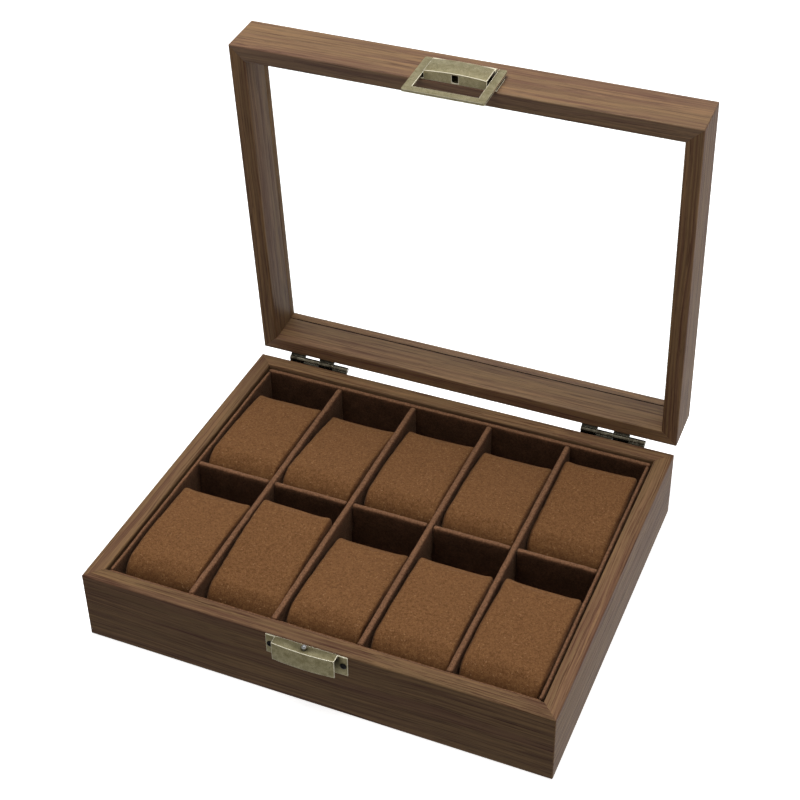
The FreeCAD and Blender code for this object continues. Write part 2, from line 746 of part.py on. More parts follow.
def make_screw(name, placement):
    """A pointed wood screw with a domed head, standing on the place it is driven into."""
    body = new_body(name)
    profile = sketch_on(body, "XZ_Plane", name + "_profile")
    polygon(profile, [
        ("0", "-dims.shank_length"),
        ("dims.shank", "-dims.shank_length + dims.point"),
        ("dims.shank", "0"),
        ("dims.head", "0"),
        ("dims.head", "dims.head_height * 0.35"),
        ("dims.head * 0.8", "dims.head_height * 0.8"),
        ("dims.head * 0.4", "dims.head_height"),
        ("0", "dims.head_height"),
    ])
    turn = body.newObject("PartDesign::Revolution", name + "_turned")
    turn.Profile = profile
    turn.ReferenceAxis = (profile, ["V_Axis"])
    doc.recompute()
    body.Placement = placement
    return body


def screw_group(name, places, tilt, placement):
    """Identical screws in one group, each driven along Y by this tilt about X."""
    aim = Rotation(Vector(1, 0, 0), tilt)
    screws = [
        make_screw(f"{name}_{number}", Placement(Vector(*where), aim))
        for number, where in enumerate(places, start=1)
    ]
    group = doc.addObject("Part::Compound", name)
    group.Links = screws
    return keep(group, name, placement)


def make_screws():
    front = -size("dims.depth / 2 + dims.plate")
    rear = size("dims.depth / 2 + dims.leaf")
    clasp_x = [side * size("dims.clasp_screw") for side in (-1, 1)]
    hinge_x = [
        side * size(f"dims.hinge_centre + {way} * dims.leaf_screw")
        for side in (-1, 1)
        for way in (-1, 1)
    ]
    for name, up, rim, place in (("base", -1, size("dims.base_height"), Placement()),
                                 ("lid", 1, RIM, OPEN_LID)):
        z = rim + up * size(CLASP_SCREW)
        screw_group(f"clasp_screws_{name}", [(x, front, z) for x in clasp_x], 90, place)
        z = AXIS_Z + up * size(LEAF_SCREW)
        screw_group(f"hinge_screws_{name}", [(x, rear, z) for x in hinge_x], -90, place)


# ---------------------------------------------------------------- build


def export_parts():
    doc.recompute()
    for obj in doc.Objects:
        if "Invalid" in obj.State or "Error" in obj.State:
            raise RuntimeError(f"{obj.Label} does not rebuild: {obj.State}")
    os.makedirs("parts", exist_ok=True)
    for obj in parts:
        if obj.Shape.isNull() or not obj.Shape.isValid():
            raise RuntimeError(f"{obj.Label} has no valid shape")
        obj.Shape.exportStep(f"parts/{obj.Label}.step")
    print(len(parts), "parts written")


make_base_walls()
make_lid_rails()
make_panels()
make_liner()
make_dividers()
make_cushions()
make_hinges()
make_clasp()
make_screws()
export_parts()
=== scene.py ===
import json
import math

import bmesh
import bpy
import numpy as np
from mathutils import Euler, Matrix, Vector, noise

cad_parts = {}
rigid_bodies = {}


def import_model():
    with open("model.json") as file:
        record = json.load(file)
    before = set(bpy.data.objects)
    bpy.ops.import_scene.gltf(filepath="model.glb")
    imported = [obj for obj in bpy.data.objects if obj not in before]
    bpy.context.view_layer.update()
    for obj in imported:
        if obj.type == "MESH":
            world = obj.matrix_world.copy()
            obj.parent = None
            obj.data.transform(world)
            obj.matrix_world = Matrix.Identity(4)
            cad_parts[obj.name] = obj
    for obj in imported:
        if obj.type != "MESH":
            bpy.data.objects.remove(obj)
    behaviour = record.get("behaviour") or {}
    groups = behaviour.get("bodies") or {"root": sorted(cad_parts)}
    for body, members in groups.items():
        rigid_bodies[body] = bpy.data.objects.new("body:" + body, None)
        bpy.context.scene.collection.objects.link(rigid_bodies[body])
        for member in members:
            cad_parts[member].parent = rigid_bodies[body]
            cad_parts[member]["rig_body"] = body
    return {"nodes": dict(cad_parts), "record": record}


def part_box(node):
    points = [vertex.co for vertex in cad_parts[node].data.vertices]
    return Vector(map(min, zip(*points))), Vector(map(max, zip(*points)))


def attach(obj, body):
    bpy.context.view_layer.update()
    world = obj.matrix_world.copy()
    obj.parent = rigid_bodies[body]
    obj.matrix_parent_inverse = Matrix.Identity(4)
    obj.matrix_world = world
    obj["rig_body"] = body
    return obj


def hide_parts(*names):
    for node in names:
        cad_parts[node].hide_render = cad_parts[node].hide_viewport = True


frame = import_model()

MM = 0.001
scene = bpy.context.scene
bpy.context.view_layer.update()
noise.seed_set(1)  # else the noise on flock and cushions would change from run to run


# ---------------------------------------------------------------- camera

# where the camera stands and how it is turned, fitted to the photo
RIGHT = Vector((0.92132, 0.38856, -0.01393))
UP = Vector((-0.21900, 0.54823, 0.80714))
EYE = Vector((261.81, -586.30, 617.26)) * MM


def make_camera():
    data = bpy.data.cameras.new("camera")
    data.lens = 74.02
    data.sensor_width = 36
    data.shift_y = -0.0663
    data.clip_start = 0.01
    camera = bpy.data.objects.new("camera", data)
    back = RIGHT.cross(UP)
    turn = Matrix((RIGHT, UP, back)).transposed().to_4x4()
    camera.matrix_world = Matrix.Translation(EYE) @ turn
    scene.collection.objects.link(camera)
    scene.camera = camera


# ---------------------------------------------------------------- node graphs


class Graph:
    """A short way to write a node tree."""

    def __init__(self, tree):
        self.tree = tree
        tree.nodes.clear()

    def node(self, kind, inputs=None, **settings):
        made = self.tree.nodes.new(kind)
        for name, value in settings.items():
            setattr(made, name, value)
        for name, value in (inputs or {}).items():
            self.feed(made, name, value)
        return made

    def feed(self, made, name, value):
        """Link an output into an input, or set the input's own value."""
        if isinstance(value, bpy.types.NodeSocket):
            self.tree.links.new(value, made.inputs[name])
        else:
            made.inputs[name].default_value = value

    def object_coordinates(self):
        return self.node("ShaderNodeTexCoord").outputs["Object"]

    def reach(self, vector, axis):
        """How far a vector reaches along an axis."""
        return self.node("ShaderNodeVectorMath", {0: vector, 1: axis},
                         operation="DOT_PRODUCT").outputs["Value"]

    def vector(self, x, y, z):
        return self.node("ShaderNodeCombineXYZ", {0: x, 1: y, 2: z}).outputs["Vector"]

    def stretched(self, vector, scale, offset=(0, 0, 0)):
        return self.node("ShaderNodeMapping", {
            "Vector": vector, "Scale": scale, "Location": offset}).outputs["Vector"]

    def noise(self, vector, scale=1, detail=3, rough=0.5, warp=0):
        made = self.node("ShaderNodeTexNoise", {
            "Vector": vector, "Scale": scale, "Detail": detail, "Roughness": rough,
            "Distortion": warp})
        return made.outputs["Fac"]

    def spread(self, value, low, high, to_low=0.0, to_high=1.0):
        """Map low to high onto to_low to to_high, and stay between the two."""
        return self.node("ShaderNodeMapRange", {
            "Value": value, "From Min": low, "From Max": high, "To Min": to_low,
            "To Max": to_high}).outputs["Result"]

    def math(self, kind, a, b=0.0):
        return self.node("ShaderNodeMath", {0: a, 1: b}, operation=kind).outputs[0]

    def ramp(self, value, stops):
        made = self.node("ShaderNodeValToRGB", {"Fac": value})
        elements = made.color_ramp.elements
        while len(elements) < len(stops):
            elements.new(0.5)
        for element, (place, grey) in zip(elements, stops):
            element.position = place
            element.color = (grey, grey, grey, 1)
        return made.outputs["Color"]

    def mix(self, factor, a, b, kind="MIX"):
        made = self.node("ShaderNodeMix", data_type="RGBA", blend_type=kind)
        self.feed(made, "Factor", factor)
        self.feed(made, 6, a)
        self.feed(made, 7, b)
        return made.outputs[2]

    def tint(self, base, code, where):
        """Lay a display colour over the base, as strongly as where says."""
        return self.mix(where, base, colour(code))

    def bump(self, height, strength, distance):
        return self.node("ShaderNodeBump", {
            "Height": height, "Strength": strength, "Distance": distance}).outputs["Normal"]

    def surface(self, **inputs):
        shader = self.node("ShaderNodeBsdfPrincipled", inputs)
        self.output(shader.outputs["BSDF"])

    def output(self, shader):
        self.node("ShaderNodeOutputMaterial", {"Surface": shader})


def colour(code):
    """Linear RGBA of a display colour such as "7a5535"."""
    channels = [int(code[i:i + 2], 16) / 255 for i in (0, 2, 4)]
    linear = [c / 12.92 if c <= 0.04045 else ((c + 0.055) / 1.055) ** 2.4 for c in channels]
    return (*linear, 1)


def material(name):
    made = bpy.data.materials.new(name)
    made.use_nodes = True
    return made, Graph(made.node_tree)


# ---------------------------------------------------------------- stage and light

FLOOR_REACH = 30
FLOOR_DROP = 0.2 * MM  # the floor lies this far under the box
FAR_TABLE = (0.55, 0.62, -0.56)  # towards the table behind the box
BRIGHTEST = 1.1
# how high a direction points, 0 straight down and 1 straight up, and how bright it is
SKY = [(0, 0.36), (0.55, 0.36), (0.66, 0.20), (0.84, 0.20), (0.95, 0.60), (1, BRIGHTEST)]
LAMPS = {
    "soft_box_top": dict(place=(-0.10, 0.08, 0.9), power=6.2),
    "soft_box_right": dict(place=(1.2, 0.2, 0.6), power=1.4),
}
LAMP_SIZE = 0.6
LAMP_AIM = Vector((0, 0, 0.03))


def make_stage():
    scene.view_settings.view_transform = "Standard"
    paper, graph = material("backdrop_paper")
    fleck = graph.noise(graph.object_coordinates(), scale=60, detail=4)
    graph.surface(**{
        "Base Color": graph.ramp(fleck, [(0, 0.90), (1, 0.93)]),
        "Roughness": 0.9, "Specular IOR Level": 0.1,
        "Emission Color": (1, 1, 1, 1), "Emission Strength": 0.75})
    mesh = bpy.data.meshes.new("floor")
    corners = [(x * FLOOR_REACH, y * FLOOR_REACH, 0)
               for x, y in ((-1, -1), (1, -1), (1, 1), (-1, 1))]
    mesh.from_pydata(corners, [], [(0, 1, 2, 3)])
    mesh.materials.append(paper)
    floor = link(mesh, "floor")
    floor.location.z = -FLOOR_DROP
    floor.visible_diffuse = False
    floor.visible_glossy = False


def make_sky():
    """A sky that is brightest overhead, over a pale table that is brightest behind the box."""
    world = bpy.data.worlds.new("studio")
    world.use_nodes = True
    scene.world = world
    graph = Graph(world.node_tree)
    direction = graph.node("ShaderNodeTexCoord").outputs["Generated"]
    rise = graph.spread(graph.reach(direction, (0, 0, 1)), -1, 1)
    sky = graph.ramp(rise, [(place, level / BRIGHTEST) for place, level in SKY])
    glow = graph.spread(graph.reach(direction, FAR_TABLE), 0, 0.9, 0, 0.45)
    strength = graph.math("ADD", graph.math("MULTIPLY", sky, BRIGHTEST), glow)
    back = graph.node("ShaderNodeBackground", {"Color": (1, 1, 1, 1), "Strength": strength})
    graph.node("ShaderNodeOutputWorld", {"Surface": back.outputs["Background"]})


def make_lamps():
    """Soft boxes that metal and film don't mirror."""
    for name, lamp in LAMPS.items():
        data = bpy.data.lights.new(name, "AREA")
        data.size = LAMP_SIZE
        data.energy = lamp["power"]
        box = bpy.data.objects.new(name, data)
        box.location = lamp["place"]
        aim = LAMP_AIM - box.location
        box.rotation_euler = aim.to_track_quat("-Z", "Y").to_euler()
        box.visible_glossy = False
        scene.collection.objects.link(box)


# ---------------------------------------------------------------- materials

SWAY = 5 * MM  # how far the wood's grain wanders sideways


def wood_film(name, along, seed, gloss, bright):
    """Walnut-grain film: olive and reddish bands along the rail, dark lines and pores."""
    made, graph = material(name)
    place = graph.object_coordinates()
    along = along.normalized()
    across = along.orthogonal().normalized()
    run, side, depth = (graph.reach(place, tuple(axis))
                        for axis in (along, across, along.cross(across)))
    bend = graph.noise(graph.stretched(graph.vector(run, side, depth), (9, 26, 26), (seed, 0, 3)),
                       detail=2)
    shift = graph.math("MULTIPLY", graph.math("SUBTRACT", bend, 0.5), SWAY)
    swayed = graph.vector(run, graph.math("ADD", side, shift), graph.math("ADD", depth, shift))

    def grain(length, width, offset, detail):
        """Noise in streaks of about this length and width."""
        scale = (1 / length, 1 / width, 1 / width)
        return graph.noise(graph.stretched(swayed, scale, (seed, offset, offset)),
                           detail=detail, rough=0.6)

    bands = grain(length=260 * MM, width=7 * MM, offset=2, detail=3)
    streaks = grain(length=90 * MM, width=1.3 * MM, offset=5, detail=4)
    fine = grain(length=45 * MM, width=0.9 * MM, offset=9, detail=3)
    short = grain(length=9 * MM, width=0.4 * MM, offset=7, detail=2)
    lines = graph.spread(fine, 0.44, 0.36, 0, 0.70)
    pores = graph.spread(short, 0.42, 0.32, 0, 0.40)

    base = graph.mix(graph.spread(bands, 0.45, 0.65), colour("6f573d"), colour("6b503c"))
    base = graph.tint(base, "886848", graph.spread(streaks, 0.50, 0.66, 0, 0.60))
    base = graph.tint(base, "533429", graph.spread(streaks, 0.50, 0.34, 0, 0.65))
    base = graph.tint(base, "42261e", lines)
    base = graph.tint(base, "2c1b15", pores)
    # painted light and shade: the film's colour is scaled per side for how brightly it is lit
    base = graph.mix(1.0, base, (bright, bright, bright, 1), kind="MULTIPLY")
    height = graph.math("SUBTRACT", graph.math("MULTIPLY", streaks, 0.6),
                        graph.math("ADD", pores, lines))
    graph.surface(**{"Base Color": base, "Roughness": graph.spread(streaks, 0.3, 0.7, 0.5, 0.4),
                     "Normal": graph.bump(height, strength=0.35, distance=0.12 * MM),
                     "Specular IOR Level": gloss})
    return made


def pile(name, light, dark, deep, painted_top_light, cushion=False):
    """Short fibres, as on flocked board and suede: a fine grain, soft patches and sheen.

    Faces that look up are made paler towards a given colour: painted top light, standing for
    the light from overhead. A cushion's cover also has pale specks and a dark seam.
    """
    made, graph = material(name)
    place = graph.object_coordinates()
    patch = graph.noise(place, scale=120, detail=4, rough=0.6)
    nap = graph.noise(place, scale=650, detail=4, rough=0.75)
    fibre = graph.noise(place, scale=1500, rough=0.8)
    normal = graph.node("ShaderNodeNewGeometry").outputs["Normal"]
    # painted top light: the more a face looks up, the paler its colour is made
    upward = graph.reach(normal, (0, 0, 1))
    base = graph.mix(graph.spread(patch, 0.30, 0.70), colour(light), colour(dark))
    base = graph.tint(base, painted_top_light, graph.spread(upward, 0.45, 0.98, 0, 0.85))
    base = graph.tint(base, deep, graph.spread(nap, 0.60, 0.38, 0, 0.42))
    base = graph.tint(base, deep, graph.spread(fibre, 0.58, 0.38, 0, 0.45))
    if cushion:
        speck = graph.noise(graph.stretched(place, (1, 1, 1), (4, 8, 2)), scale=900, detail=2)
        base = graph.tint(base, "bd9068", graph.spread(speck, 0.64, 0.72, 0, 0.32))
        seam = graph.node("ShaderNodeAttribute", attribute_name="seam").outputs["Fac"]
        base = graph.tint(base, deep, graph.math("MULTIPLY", seam, 0.5))
    height = graph.math("ADD", fibre, graph.math("MULTIPLY", nap, 0.7))
    graph.surface(**{"Base Color": base, "Roughness": 0.95,
                     "Normal": graph.bump(height, strength=0.8, distance=0.4 * MM),
                     "Specular IOR Level": 0.12, "Sheen Weight": 0.18,
                     "Sheen Roughness": 0.45, "Sheen Tint": (0.75, 0.50, 0.32, 1)})
    return made


def antique_metal(name, bright, dull, stain_and_shade, rough, metal=1.0, patina_and_shade=0):
    """Mottled antiqued plating. Recesses about as deep as the given reach are darkened by ambient
    occlusion: painted shade, standing for patina as well.
    """
    made, graph = material(name)
    place = graph.object_coordinates()
    cloud = graph.noise(place, scale=260, detail=5, rough=0.65, warp=0.4)
    grit = graph.noise(place, scale=1700, rough=0.6)
    base = graph.mix(graph.spread(cloud, 0.36, 0.66), colour(dull), colour(bright))
    base = graph.tint(base, stain_and_shade, graph.spread(grit, 0.46, 0.30, 0, 0.55))
    if patina_and_shade:
        # painted shade: ambient occlusion darkens the recesses, standing for patina as well
        recess = graph.node("ShaderNodeAmbientOcclusion", {"Distance": patina_and_shade}).outputs["AO"]
        base = graph.tint(base, stain_and_shade, graph.spread(recess, 0.98, 0.50))
    height = graph.math("ADD", grit, cloud)
    graph.surface(**{"Base Color": base, "Metallic": metal,
                     "Roughness": graph.spread(cloud, 0.3, 0.7, rough + 0.10, rough - 0.06),
                     "Normal": graph.bump(height, strength=0.25, distance=0.08 * MM)})
    return made


def plain_metal(name, tone, rough, metal=1.0):
    """Smooth metal, worn duller and a fifth darker in places."""
    made, graph = material(name)
    rub = graph.noise(graph.stretched(graph.object_coordinates(), (1, 1, 6)), scale=900)
    *clean, _ = colour(tone)
    dulled = (*(channel * 0.8 for channel in clean), 1)
    base = graph.mix(graph.spread(rub, 0.3, 0.7), colour(tone), dulled)
    graph.surface(**{"Base Color": base, "Metallic": metal,
                     "Roughness": graph.spread(rub, 0.3, 0.7, rough, rough + 0.12),
                     "Normal": graph.bump(rub, strength=0.1, distance=0.05 * MM)})
    return made


def board(name):
    """Brown hardboard under the box."""
    made, graph = material(name)
    place = graph.object_coordinates()
    fibres = graph.noise(graph.stretched(place, (90, 500, 500)), detail=5, rough=0.7)
    flecks = graph.noise(place, scale=800)
    base = graph.mix(graph.spread(fibres, 0.3, 0.7), colour("5a4030"), colour("3c2a1f"))
    base = graph.tint(base, "846248", graph.spread(flecks, 0.62, 0.75, 0, 0.5))
    graph.surface(**{"Base Color": base, "Roughness": graph.spread(fibres, 0, 1, 0.6, 0.85),
                     "Normal": graph.bump(fibres, strength=0.4, distance=0.2 * MM)})
    return made


def clear_glass(name):
    """Glass that is seen straight through, and mirrors more at a flat angle."""
    made, graph = material(name)
    facing = graph.node("ShaderNodeLayerWeight", {"Blend": 0.5}).outputs["Facing"]
    slant = graph.math("MULTIPLY", graph.math("POWER", facing, 5.0), 0.9)
    through = graph.node("ShaderNodeBsdfTransparent", {"Color": (0.975, 0.985, 0.98, 1)})
    smear = graph.noise(graph.object_coordinates(), scale=25)
    mirror = graph.node("ShaderNodeBsdfGlossy", {
        "Color": (1, 1, 1, 1), "Roughness": graph.spread(smear, 0.3, 0.7, 0.0, 0.03)})
    mixed = graph.node("ShaderNodeMixShader", {
        "Fac": graph.math("ADD", slant, 0.03), 1: through.outputs["BSDF"],
        2: mirror.outputs["BSDF"]})
    graph.output(mixed.outputs["Shader"])
    return made


def painted_groove_shade(name):
    """Painted shade for the inside of the lid's glass groove: near black, where the gap beside
    the glass lies in shade.
    """
    made, graph = material(name)
    fuzz = graph.noise(graph.object_coordinates(), scale=700, detail=4)
    base = graph.mix(graph.spread(fuzz, 0.3, 0.7), colour("15100d"), colour("231a15"))
    graph.surface(**{"Base Color": base, "Roughness": graph.spread(fuzz, 0, 1, 0.8, 0.95),
                     "Normal": graph.bump(fuzz, strength=0.4, distance=0.2 * MM)})
    return made


# ---------------------------------------------------------------- meshes and pieces

WELD = 1e-6  # points closer than this are one
FLAT = math.radians(0.4)  # faces that turn by less than this are one flat face
SHARP = math.radians(32)  # edges that turn by more than this are eased


def link(mesh, name):
    piece = bpy.data.objects.new(name, mesh)
    scene.collection.objects.link(piece)
    return piece


def body_name(node):
    return frame["nodes"][node]["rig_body"]


def stand_for(piece, slot, *nodes):
    """piece takes the place of these CAD nodes, on their body."""
    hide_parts(*nodes)
    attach(piece, body_name(nodes[0]))
    return piece


def mesh_of(bm, name):
    """Turn a bmesh into a mesh, and free it."""
    mesh = bpy.data.meshes.new(name)
    bm.to_mesh(mesh)
    bm.free()
    return mesh


def tidy_mesh(node):
    """The node's mesh with its flat faces whole, so that its edges can be worked on."""
    bm = bmesh.new()
    bm.from_mesh(frame["nodes"][node].data)
    bmesh.ops.remove_doubles(bm, verts=bm.verts, dist=WELD)
    bmesh.ops.dissolve_limit(bm, angle_limit=FLAT, verts=bm.verts, edges=bm.edges)
    mesh = mesh_of(bm, node + "_mesh")
    for stale in ("custom_normal", "UVMap"):
        if stale in mesh.attributes:
            mesh.attributes.remove(mesh.attributes[stale])
    return mesh


def settle(piece):
    """Apply all modifiers of a piece to its mesh."""
    graph = bpy.context.evaluated_depsgraph_get()
    done = bpy.data.meshes.new_from_object(piece.evaluated_get(graph))
    piece.modifiers.clear()
    piece.data = done


def remesh_evenly(piece, size):
    """Give a piece's skin even faces of this size, once it is settled."""
    remesh = piece.modifiers.new("even", "REMESH")
    remesh.mode = "VOXEL"
    remesh.voxel_size = size


def shade_smooth(mesh):
    for face in mesh.polygons:
        face.use_smooth = True


def shade_by_angle(mesh, degrees):
    """Smooth shading that breaks at edges that turn by more than this."""
    shade_smooth(mesh)
    bm = bmesh.new()
    bm.from_mesh(mesh)
    for edge in bm.edges:
        edge.smooth = edge.is_manifold and edge.calc_face_angle(0) < math.radians(degrees)
    bm.to_mesh(mesh)
    bm.free()


def weigh_long_edges(mesh, shortest):
    """Mark the sharp edges that are longer than this for the bevel."""
    bm = bmesh.new()
    bm.from_mesh(mesh)
    weight = bm.edges.layers.float.new("bevel_weight_edge")
    for edge in bm.edges:
        sharp = edge.is_manifold and edge.calc_face_angle(0) > SHARP
        edge[weight] = 1 if sharp and edge.calc_length() > shortest else 0
    bm.to_mesh(mesh)
    bm.free()


def mean_width(mesh, face):
    """About how wide a face is, if it is long and narrow."""
    corners = [mesh.vertices[index].co for index in face.vertices]
    outline = sum((a - b).length for a, b in zip(corners, corners[1:] + corners[:1]))
    return 2 * face.area / outline


def eased(node, slot, materials, width, segments=2, bright_below=0, shortest=0):
    """A copy of a node whose sharp edges are eased, with the last material on them.

    Faces narrower than bright_below, the cut edges of sheet metal, get it as well. Edges
    up to shortest stay sharp, so that small holes don't hold the others back.
    """
    mesh = tidy_mesh(node)
    for one in materials:
        mesh.materials.append(one)
    last = len(materials) - 1
    for face in mesh.polygons:
        face.material_index = last if mean_width(mesh, face) < bright_below else 0
    weigh_long_edges(mesh, shortest)
    piece = link(mesh, node + "_piece")
    bevel = piece.modifiers.new("eased", "BEVEL")
    bevel.width = width
    bevel.segments = segments
    bevel.limit_method = "WEIGHT"
    bevel.material = last
    bevel.use_clamp_overlap = shortest == 0
    settle(piece)
    shade_by_angle(piece.data, degrees=38)
    return stand_for(piece, slot, node)


# ---------------------------------------------------------------- rails, bottom and glass

# for each side: the way its rail runs while the lid is closed, how far its film's colour is
# scaled in the base and in the lid, painted light and shade for how brightly that side is
# lit, and how glossy it is in the lid
RAILS = {
    "front": dict(along=(1, 0, 0), base=0.98, lid=1.12, lid_gloss=0.5),
    "rear": dict(along=(1, 0, 0), base=1.25, lid=1.55, lid_gloss=0.5),
    "left": dict(along=(0, 1, 0), base=1.08, lid=1.25, lid_gloss=0.1),
    "right": dict(along=(0, 1, 0), base=1.25, lid=1.3, lid_gloss=0.1),
}
BASE_GLOSS = 0.08
RAIL_EASE = 0.15 * MM
PANEL_EASE = 0.2 * MM
BASE_SEED = 11
LID_SEED = 43
SEED_STEP = 7  # between the sides, so that no two have the same grain
GROOVE_PLAY = 0.3 * MM


def open_lid():
    """The turn that takes a point of the closed lid to where it is at rest, open."""
    hinge = next(j for j in frame["record"]["behaviour"]["joints"] if j["name"] == "lid_hinge")
    pivot = Matrix.Translation(hinge["pos_m"])
    angle = -math.radians(hinge["range_deg"][0])
    return pivot @ Matrix.Rotation(angle, 4, Vector(hinge["axis"])) @ pivot.inverted()


def line_groove(piece, groove):
    """Give the faces inside the groove, level with the glass, their own material: the painted
    groove shade.
    """
    to_closed = open_lid().inverted()
    pane = frame["nodes"]["glass_pane"].data
    levels = [(to_closed @ vertex.co).z for vertex in pane.vertices]
    piece.data.materials.append(groove)
    for face in piece.data.polygons:
        height = (to_closed @ face.center).z
        if min(levels) - GROOVE_PLAY < height < max(levels) + GROOVE_PLAY:
            face.material_index = len(piece.data.materials) - 1


def make_rails():
    # the faces inside the groove get painted shade
    groove = painted_groove_shade("groove")
    for number, (side, rail) in enumerate(RAILS.items()):
        step = SEED_STEP * number
        along = Vector(rail["along"])
        film = wood_film(f"walnut_base_{side}", along, BASE_SEED + step, BASE_GLOSS,
                         rail["base"])
        eased(f"base_{side}_wall", "wood_grain", [film], RAIL_EASE, segments=1)
        along = open_lid().to_3x3() @ along
        film = wood_film(f"walnut_lid_{side}", along, LID_SEED + step, rail["lid_gloss"],
                         rail["lid"])
        piece = eased(f"lid_{side}_rail", "wood_grain", [film], RAIL_EASE, segments=1)
        line_groove(piece, groove)
    eased("bottom_panel", "panel_board", [board("hardboard")], PANEL_EASE)
    eased("glass_pane", "pane", [clear_glass("window_glass")], PANEL_EASE)


# ---------------------------------------------------------------- flocked liner

FLOCK_VOXEL = 0.9 * MM
FLOCK_UNEVEN = 0.16 * MM  # how far the flock's surface strays
# the unevenness is noise of these frequencies per metre, each with its share
FLOCK_NOISE = {120: 1, 480: 0.5}
LINER_NODES = ["liner_floor", "liner_front_strip", "liner_rear_strip", "liner_left_strip",
               "liner_right_strip", "divider_across"]
LINER_NODES += [f"divider_lengthwise_{number}" for number in range(1, 5)]


def flocked(node, skin):
    """A board under flock: edges softened, faces slightly uneven."""
    piece = link(tidy_mesh(node), node + "_flocked")
    remesh_evenly(piece, FLOCK_VOXEL)
    smooth = piece.modifiers.new("soften", "SMOOTH")
    smooth.iterations = 2
    settle(piece)
    for vertex in piece.data.vertices:
        place = vertex.co.copy()
        for frequency, share in FLOCK_NOISE.items():
            vertex.co += noise.noise_vector(place * frequency) * share * FLOCK_UNEVEN
    piece.data.materials.append(skin)
    shade_smooth(piece.data)
    return stand_for(piece, "flock", node)


def make_liner():
    # the paler top colour given here is painted top light for faces that look up
    skin = pile("brown_flock", "65442f", "4e3322", "1f110a", painted_top_light="956c50")
    for node in LINER_NODES:
        flocked(node, skin)


# ---------------------------------------------------------------- cushions

# lengths in this section are in mm; for each cushion: how far the rear and front ends of
# its top stand above the liner's top edge, and its lean to the right and turn in degrees
CUSHIONS = {
    1: dict(rear=-2.0, front=-0.2, roll=0.2, turn=0.5),
    2: dict(rear=3.5, front=-4.0, roll=0.4, turn=-0.8),
    3: dict(rear=-5.0, front=-0.5, roll=-0.3, turn=0.4),
    4: dict(rear=-2.0, front=-0.3, roll=0.3, turn=0.3),
    5: dict(rear=0.5, front=0.5, roll=0.6, turn=-0.4),
    6: dict(rear=-2.8, front=0.6, roll=0.2, turn=0.3),
    7: dict(rear=-5.5, front=0.4, roll=-0.4, turn=-0.5),
    8: dict(rear=-5.0, front=-1.5, roll=0.3, turn=0.5),
    9: dict(rear=-4.3, front=0.0, roll=0.2, turn=0.4),
    10: dict(rear=0.0, front=-3.5, roll=-0.3, turn=-0.3),
}
PLUMP = 0.35  # how far the cover stands out beyond the CAD block on each side
CROWN = 1.0  # how far the middle of the top rises above the line between its ends
FRONT_ROUND = 12
REAR_ROUND = 2
UNDER_ROUND = 6
PLAN_ROUND = 2.2  # of the upright corners
SIDE_ROUND = 0.8  # of the edges along the sides
ROUND_STEPS = 10
TOP_STEPS = 14
SLICES = (0.05, 0.4, 1.0, 1.8, 3.0, 4.5)  # a blank's slices lie this far in from its sides
PILLOW_VOXEL = 1.2
LUMPS = 0.3
LUMP_FREQUENCY = 5  # per metre of the enlarged pillow

SCALE_UP = 10  # cloth is simulated ten times larger, where it is steady
SWELL = 0.6  # how far air pressure moves the cover, at most
CLOTH = dict(quality=6, mass=0.3, tension_stiffness=12, compression_stiffness=12,
             shear_stiffness=4, bending_stiffness=0.6, use_pressure=True,
             uniform_pressure_force=4, pin_stiffness=1)
CLOTH_FRAMES = 20
HELD_BELOW = 2.5  # the cover is held fast below this height
SEAM_GRIP = 0.75  # and this firmly along its seams,
SEAM_REACH = 1.6  # less so up to this far from them

SEAM_IN = 1.1  # seams run this far in from the sides
SEAM_DEEP = 0.28
SEAM_WIDE = 0.7


def side_outline(length, rear, front):
    """Side view of a pillow as a closed loop of (y, z), standing on z = 0."""
    corners = [  # centre's y and z, radius and first angle
        (length - UNDER_ROUND, UNDER_ROUND, UNDER_ROUND, -90),
        (length - REAR_ROUND, rear - REAR_ROUND, REAR_ROUND, 0),
        (FRONT_ROUND, front - FRONT_ROUND, FRONT_ROUND, 90),
        (UNDER_ROUND, UNDER_ROUND, UNDER_ROUND, 180),
    ]
    points = []
    for y, z, radius, start in corners:
        for step in range(ROUND_STEPS + 1):
            angle = math.radians(start + 90 * step / ROUND_STEPS)
            points.append((y + radius * math.cos(angle), z + radius * math.sin(angle)))
        if start == 0:
            points += top_line(length - REAR_ROUND, rear, FRONT_ROUND, front)
    return points


def top_line(rear_y, rear, front_y, front):
    """The crowned line between the ends of a pillow's top, without the ends."""
    points = []
    for step in range(1, TOP_STEPS):
        part = step / TOP_STEPS
        rise = CROWN * 4 * part * (1 - part)
        points.append((rear_y - (rear_y - front_y) * part, rear + (front - rear) * part + rise))
    return points


def corner_inset(reach, radius):
    """How far a rounded corner falls back, this far in from the side."""
    if reach >= radius:
        return 0
    return radius - math.sqrt(radius ** 2 - (radius - reach) ** 2)


def pillow_slices(width, outline):
    """Loops of points across a pillow, smaller near its sides."""
    length = max(y for y, _ in outline)
    height = max(z for _, z in outline)
    half = width / 2
    reaches = (*SLICES, half / 2)
    places = [(-half + reach, reach) for reach in reaches] + [(0, half)]
    places += [(half - reach, reach) for reach in reversed(reaches)]
    slices = []
    for x, reach in places:
        slim = 1 - 2 * corner_inset(reach, PLAN_ROUND) / length
        flat = 1 - 2 * corner_inset(reach, SIDE_ROUND) / height
        slices.append([Vector((x, (y - length / 2) * slim, (z - height / 2) * flat + height / 2))
                       for y, z in outline])
    return slices


